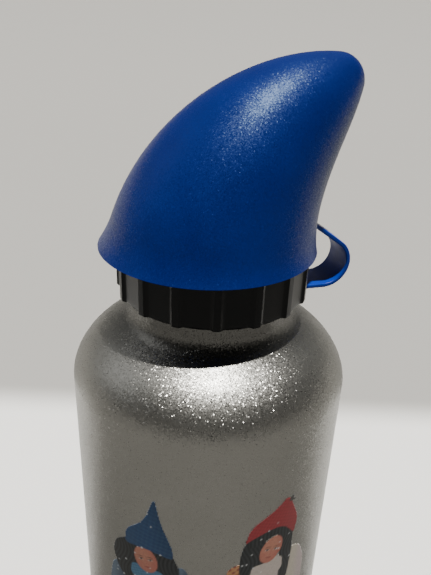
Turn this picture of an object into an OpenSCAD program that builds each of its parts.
// Kids water bottle: an aluminium bottle with a ribbed screw cap, a push-pull drinking spout
// and a hollow bent-pointed cover, tied on with a flat strap. All lengths are in millimetres.
// The origin is the centre of the foot, +Z is up, and the cover's point and the strap are on +X.

/* [Bottle] */
// Radius of the straight wall
body_r = 36.5; // [36:0.5:40]
// Height at which the straight wall ends and the shoulder starts
shoulder_z = 140; // [110:1:180]
// Thickness of the aluminium
wall = 0.9; // [0.6:0.1:1.2]
// Radius of the rounded edge round the foot
foot_round = 6; // [4:0.5:8]
// Height of the hollow in the base
base_hollow = 4; // [2:0.5:6]
// Outside radius of the plain neck
neck_r = 20.3; // [20.1:0.1:20.5]

/* [Screw cap] */
// Radius over the ribs of the skirt
cap_r = 24.5; // [24.3:0.1:24.6]
// Height of the cap, from the skirt's edge to the top of its deck
cap_h = 12.9; // [12.5:0.1:13.2]
// Number of ribs round the skirt
rib_count = 16; // [12:1:24]
// Width of a rib
rib_w = 2.4; // [1.6:0.1:3]
// Pitch of the screw thread
pitch = 4; // [3.6:0.1:4.2]

/* [Spout] */
// Radius of the chimney that the spout slides on
chimney_r = 6.5; // [6:0.1:7]
// Height of the chimney above the deck
chimney_h = 16; // [14:0.5:17]
// How far the spout stands above the chimney when it is shut
spout_over = 5; // [4:0.5:6]

/* [Cover] */
// Outside radius of the cover's rim
rim_r = 27.1; // [27:0.1:27.4]
// Height of the rim above the skirt's edge
rim_up = 12.2; // [12:0.1:12.6]
// How far the cover sits off the bottle's axis, away from its point
cover_shift = 1.5; // [1:0.1:1.7]
// Thickness of the cover
cover_wall = 1.2; // [1:0.1:1.3]
// Radius of the rounded point
nose_r = 6.8; // [6:0.1:7.4]
// Height of the centre of the rounded point above the rim
nose_up = 38.1; // [36:0.1:42]

/* [Strap] */
// Width of the strap
strap_w = 10; // [8:0.5:12]
// Thickness of the strap
strap_t = 1.1; // [0.9:0.1:1.2]
// Radius of the strap's bend, at the middle of its thickness
strap_bend = 6.4; // [6:0.1:6.8]

/* [Hidden] */
$fn = 96;

// Heights of the main faces
cap_z = shoulder_z + 23.3;
deck_z = cap_z + cap_h;
deck_t = 1.5;
lip_z = cap_z + 10.2;
rim_z = cap_z + rim_up;

// The shoulder is a quarter of a superellipse, then a straight slope, then a fillet up to the neck
shoulder_in = 18.8;
shoulder_up = 15.7;
shoulder_power = 1.73;
shoulder_part = 0.67;
neck_fillet = 5;

// The foot's flat ring, and the slope from it up to the hollow base
foot_flat = 5;
foot_slope = 4;

// Neck, lip and thread
lip_r = 0.75;
lip_centre = neck_r - 0.15;
thread_turn = 480;
thread_step = 20;
thread_z = cap_z + 2.6;
neck_crest_r = neck_r + 1.3;
cap_crest_r = neck_r + 0.8;
cap_bore_r = neck_r + 1.7;
thread_lag = 1.6;
thread_sink = 0.3;
thread_half_root = 0.95;
thread_half_crest = 0.45;
cap_thread_from = 144;
cap_thread_teeth = 20;

// Skirt, ring and seal
rib_turn = 9.4;
skirt_corner_r = cap_r - 0.5;
rib_root = 1.5;
mouth_r = 22.9;
mouth_h = 1.9;
collar_r = 22.6;
collar_h = 3.5;
collar_t = 2;
collar_bead_r = 0.5;
collar_bead_drop = 0.8;
skirt_low_edge = [0.4, 0.6];
skirt_high_edge = [1.1, 1.2];
mouth_slope = 0.6;
gasket_in = 18.8;
gasket_out = 21.4;
gasket_gap = 0.05;
ring_in = neck_crest_r + 0.2;
ring_out = mouth_r - 0.15;
ring_drop = 0.95;
ring_h = 2.5;

// Spout
chimney_bore = 5;
stem_r = 2;
fit_gap = 0.06;
groove_z = deck_z + 12;
groove_h = 1.7;
groove_deep = 1;
nozzle_bore = chimney_r + fit_gap;
nozzle_foot = deck_z + 2.5;
nozzle_top = deck_z + chimney_h + spout_over;
nozzle_h = nozzle_top - nozzle_foot;
lip_top_r = 5.2;
flange_r = 10;
flange_h = 2.2;
mouth_outer_r = 7.6;
sleeve_t = 1.1;
valve_at = 12;
valve_post_r = 1.4;
valve_flap_r = 4;
valve_flap_t = 0.9;
valve_button = [1.9, 1, 1.2];
arm_turns = [30, 150, 270];
stem_drop = 0.6;
oring_r = 0.5;
sleeve_drop = 3.5;
vent_at = 2.6;
vent_r = 0.5;
arm_w = 1.4;

// Cover outline: pulls and reaches of the curves, and where the rounded point starts and ends
nose_x = 29.9;
front_pull = [-19, 30];
front_reach = 22;
front_turn = 87;
back_pull = [24.4, 13];
back_reach = 10;
back_turn = -15;
flare = 1.55;
flare_h = 7;
bead_h = 0.7;
mid_width = 0.95;
nose_width = 0.9;
around = 36;
bead_steps = [0, 0.018, 0.026, 0.034];
side_steps = 17;
nose_steps = 5;

function heading(a) = [cos(a), sin(a)];
function curve_at(a, b, c, d, t) =
    pow(1 - t, 3) * a + 3 * pow(1 - t, 2) * t * b + 3 * (1 - t) * t * t * c + pow(t, 3) * d;

// ---- Bottle ----

function shoulder_at(a, inset) = [
    body_r - shoulder_in + (shoulder_in - inset) * pow(cos(a), 2 / shoulder_power),
    shoulder_z + (shoulder_up - inset) * pow(sin(a), 2 / shoulder_power)];

// Outline of one side of the shell from the shoulder to the neck, inset by the wall for the inside
function top_line(inset) = let(
    steps = 10,
    curve = [for (i = [0:steps]) shoulder_at(90 * shoulder_part * i / steps, inset)],
    last = curve[steps],
    before = curve[steps - 1],
    slope = atan2(last[1] - before[1], before[0] - last[0]),
    r = neck_fillet + inset,
    side = neck_r - inset,
    drop = r * (1 - cos(90 - slope)),
    start = [side + drop, last[1] + (last[0] - side - drop) * tan(slope)],
    centre = [side + r, start[1] + r * sin(90 - slope)])
    concat(curve, [for (i = [0:6]) centre - r * heading((90 - slope) * (1 - i / 6))]);

function foot_line(inset) = let(r = foot_round - inset, c = [body_r - foot_round, foot_round])
    [for (i = [0:6]) c + r * heading(-90 + 15 * i)];

module shell_profile() {
    outer = concat(foot_line(0), top_line(0));
    inner = concat(foot_line(wall), top_line(wall));
    foot_in = body_r - foot_round - foot_flat;
    difference() {
        polygon(concat([[0, base_hollow], [foot_in - foot_slope, base_hollow], [foot_in, 0]], outer,
            [[neck_r, lip_z - lip_r], [0, lip_z - lip_r]]));
        polygon(concat([[0, base_hollow + wall], [foot_in - foot_slope, base_hollow + wall], [foot_in, wall]],
            inner, [[neck_r - wall, lip_z], [0, lip_z]]));
    }
    translate([lip_centre, lip_z - lip_r]) circle(lip_r);
}

// One short piece of thread, on a wall of radius root, that stands out or in to radius crest
module thread_tooth(root, crest) {
    rotate_extrude(angle = thread_step - 1)
        polygon([[root, -thread_half_root], [crest, -thread_half_crest],
            [crest, thread_half_crest], [root, thread_half_root]]);
}

module thread_run(root, crest, from, to, z)
    for (a = [from:thread_step:to - thread_step])
        translate([0, 0, z + pitch * a / 360]) rotate(a) thread_tooth(root, crest);

module bottle_shell() color("silver") {
    rotate_extrude() shell_profile();
    thread_run(neck_r - thread_sink, neck_crest_r, 0, thread_turn, thread_z);
}

// ---- Screw cap ----

module skirt_outline() {
    step = 360 / rib_count;
    polygon([for (i = [0:rib_count - 1]) skirt_corner_r * heading(rib_turn + step * i)]);
    for (i = [0:rib_count - 1])
        rotate(rib_turn + step * i) translate([skirt_corner_r - rib_root, -rib_w / 2])
            square([rib_root + cap_r - skirt_corner_r, rib_w]);
}

// The envelope rounds off the skirt's lower and upper edges
module skirt_envelope() rotate_extrude()
    polygon([[0, 0], [cap_r - skirt_low_edge[0], 0], [cap_r + 0.2, skirt_low_edge[1]],
        [cap_r + 0.2, cap_h - skirt_high_edge[1]], [cap_r - skirt_high_edge[0], cap_h], [0, cap_h]]);

module cap_hollow() rotate_extrude()
    polygon([[0, -1], [mouth_r, -1], [mouth_r, mouth_h], [cap_bore_r, mouth_h + mouth_slope],
        [cap_bore_r, cap_h - deck_t], [0, cap_h - deck_t]]);

module collar_profile() {
    translate([collar_r - collar_t, cap_h - 0.5]) square([collar_t, collar_h + 0.5]);
    translate([collar_r, cap_h + collar_h - collar_bead_drop]) circle(collar_bead_r);
}

module screw_cap() color([0.07, 0.07, 0.08]) {
    translate([0, 0, cap_z]) {
        difference() {
            intersection() {
                linear_extrude(cap_h) skirt_outline();
                skirt_envelope();
            }
            cap_hollow();
            translate([0, 0, cap_h - deck_t - 1]) cylinder(r = chimney_bore, h = deck_t + 2);
            translate([0, valve_at, cap_h - deck_t - 1]) {
                cylinder(r = valve_post_r + 0.1, h = deck_t + 2);
                for (a = [45, 135, 225, 315])
                    rotate(a) translate([vent_at, 0]) cylinder(r = vent_r, h = deck_t + 2);
            }
        }
        rotate_extrude() collar_profile();
    }
    chimney();
    thread_run(cap_bore_r + thread_sink, cap_crest_r, cap_thread_from,
        cap_thread_from + cap_thread_teeth * thread_step, thread_z - thread_lag);
}

module chimney() {
    difference() {
        translate([0, 0, deck_z - 0.5]) cylinder(r = chimney_r, h = chimney_h + 0.5);
        translate([0, 0, deck_z - 1]) cylinder(r = chimney_bore, h = chimney_h + 2);
        translate([0, 0, groove_z]) difference() {
            cylinder(r = chimney_r + 1, h = groove_h);
            cylinder(r = chimney_r - groove_deep, h = groove_h);
        }
    }
    translate([0, 0, deck_z - deck_t]) cylinder(r = stem_r, h = nozzle_top - stem_drop - deck_z + deck_t);
    for (a = arm_turns)
        translate([0, 0, deck_z - deck_t]) rotate(a) translate([stem_r - 0.5, -arm_w / 2, 0])
            cube([chimney_bore - stem_r + 0.8, arm_w, deck_t]);
}

// ---- Seals ----

module cap_gasket() color([0.92, 0.92, 0.9])
    translate([0, 0, lip_z + gasket_gap]) difference() {
        cylinder(r = gasket_out, h = cap_h - deck_t - lip_z + cap_z - gasket_gap);
        translate([0, 0, -1]) cylinder(r = gasket_in, h = 4);
    }

module spout_oring() color([0.85, 0.3, 0.2])
    translate([0, 0, groove_z + groove_h / 2]) rotate_extrude()
        translate([chimney_r - groove_deep / 2 + 0.02, 0]) circle(oring_r);

module vent_valve() color([0.9, 0.9, 0.88]) translate([0, valve_at, deck_z - deck_t]) {
    translate([0, 0, -valve_flap_t]) cylinder(r = valve_flap_r, h = valve_flap_t);
    translate([0, 0, -0.5]) cylinder(r = valve_post_r, h = deck_t + 0.5);
    translate([0, 0, deck_t]) cylinder(r1 = valve_button[0], r2 = valve_button[1], h = valve_button[2]);
}

// ---- Spout ----

module nozzle_profile() polygon([
    [nozzle_bore, 0], [flange_r - 0.4, 0], [flange_r, 0.4], [flange_r, flange_h - 0.4],
    [flange_r - 0.4, flange_h],
    [mouth_outer_r, flange_h], [mouth_outer_r, nozzle_h - 3], [lip_top_r, nozzle_h],
    [stem_r + fit_gap, nozzle_h], [stem_r + fit_gap, nozzle_h - 2],
    [stem_r + 2, nozzle_h - 2.6], [nozzle_bore, nozzle_h - 4]]);

module spout_nozzle() color([0.1, 0.1, 0.11])
    translate([0, 0, nozzle_foot]) rotate_extrude() nozzle_profile();

module spout_sleeve() color([0.75, 0.78, 0.8])
    translate([0, 0, nozzle_foot + flange_h]) difference() {
        cylinder(r = mouth_outer_r + sleeve_t, h = nozzle_h - flange_h - sleeve_drop);
        translate([0, 0, -1]) cylinder(r = mouth_outer_r + 0.02, h = 30);
    }

// ---- Strap and its ring ----

// A ring that turns inside the skirt's mouth and reaches just below its edge
module tether_ring() color("royalblue") translate([0, 0, cap_z - ring_drop]) difference() {
    cylinder(r = ring_out, h = ring_h);
    translate([0, 0, -1]) cylinder(r = ring_in, h = ring_h + 2);
}

// The strap's middle line: level under the skirt, round a bend, then sloping up to the cover.
// The sloping run is a touch thinner than the bend, and starts a little way inside it.
strap_z = cap_z - 0.05 - strap_t / 2;
bend_x = 36.4 - strap_t / 2 - strap_bend;
bend_z = strap_z + strap_bend;
bend_end = 55;
strap_rise = 12;
strap_ease = 0.05;
strap_lap = 0.3;
strap_end_x = 25.35;

module strap_profile() {
    translate([ring_in, strap_z - strap_t / 2]) square([bend_x - ring_in, strap_t]);
    translate([bend_x, bend_z]) difference() {
        circle(strap_bend + strap_t / 2);
        circle(strap_bend - strap_t / 2);
        translate([-20, -20]) square([20, 40]);
        rotate(bend_end) translate([-20, 0]) square([40, 20]);
    }
    difference() {
        translate([bend_x, bend_z]) rotate(bend_end)
            translate([strap_bend - strap_t / 2 + strap_ease, -strap_lap])
                square([strap_t - 2 * strap_ease, strap_rise + strap_lap]);
        translate([strap_end_x - 10, bend_z]) square([10, 20]);
    }
}

module tether_strap() color("royalblue") difference() {
    translate([0, strap_w / 2, 0]) rotate([90, 0, 0]) linear_extrude(strap_w) strap_profile();
    translate([0, 0, strap_z - 5]) cylinder(r = ring_out + 0.02, h = 10);
}

// ---- Cover ----

nose_c = [nose_x, nose_up];

// A point on the cover's front or back line. t runs from the rim (0) to the rounded point (1)
// and round it (2), and w is how deep in the skin the point lies.
function front_at(t, w) = let(
    end = nose_c + (nose_r - w) * heading(front_turn),
    turn = front_turn + (back_turn - front_turn) / 2 * (t - 1),
    p = t > 1 ? nose_c + (nose_r - w) * heading(turn)
        : curve_at([-rim_r + flare + w, 0], front_pull + [w, 0],
            end - front_reach * heading(front_turn - 90), end, t))
    [p[0] - flare * pow(max(0, 1 - p[1] / flare_h), 2), p[1]];

function back_at(t, w) = let(
    end = nose_c + (nose_r - w) * heading(back_turn),
    turn = back_turn + (front_turn - back_turn) / 2 * (t - 1))
    t > 1 ? nose_c + (nose_r - w) * heading(turn)
        : curve_at([rim_r - w, 0], back_pull - [w, 0], end - back_reach * heading(back_turn + 90), end, t);

function width_at(t) = t < 0.5 ? 1 + (mid_width - 1) * 2 * t
    : mid_width + (nose_width - mid_width) * (min(t, 1) - 0.5) * 2;

// One ring of points: an ellipse whose long axis joins the front line to the back line
function section(t, w) = let(
    f = front_at(t, w), b = back_at(t, w), middle = (f + b) / 2, half = (b - f) / 2)
    [for (i = [0:around - 1]) let(a = 360 * i / around)
        [middle[0] + half[0] * cos(a), width_at(t) * norm(half) * sin(a), middle[1] + half[1] * cos(a)]];

cover_steps = concat(bead_steps,
    [for (i = [1:side_steps]) bead_steps[3] + (1 - bead_steps[3]) * i / side_steps],
    [for (i = [1:nose_steps - 1]) 1 + i / nose_steps]);
function skin_at(i) = cover_wall + ((i == 1 || i == 2) ? bead_h : 0);

module hat_cover() color("blue") translate([-cover_shift, 0, rim_z]) {
    n = len(cover_steps);
    outer = [for (t = cover_steps) each section(t, 0)];
    inner = [for (i = [0:n - 1]) each section(cover_steps[i], skin_at(i))];
    tips = [let(p = front_at(2, 0)) [p[0], 0, p[1]], let(p = front_at(2, cover_wall)) [p[0], 0, p[1]]];
    points = concat(outer, inner, tips);
    base = n * around;
    faces = concat(
        [for (i = [0:n - 2], j = [0:around - 1]) let(a = i * around + j, b = i * around + (j + 1) % around)
            each [[a, a + around, b], [b, a + around, b + around]]],
        [for (i = [0:n - 2], j = [0:around - 1])
            let(a = base + i * around + j, b = base + i * around + (j + 1) % around)
            each [[a, b, a + around], [b, b + around, a + around]]],
        [for (j = [0:around - 1]) let(k = (j + 1) % around)
            each [[j, k, base + j], [k, base + k, base + j]]],
        [for (j = [0:around - 1]) let(a = (n - 1) * around + j, b = (n - 1) * around + (j + 1) % around)
            each [[a, 2 * base, b], [base + a, base + b, 2 * base + 1]]]);
    polyhedron(points, faces);
}

bottle_shell();
cap_gasket();
screw_cap();
vent_valve();
spout_oring();
spout_nozzle();
spout_sleeve();
tether_ring();
tether_strap();
hat_cover();
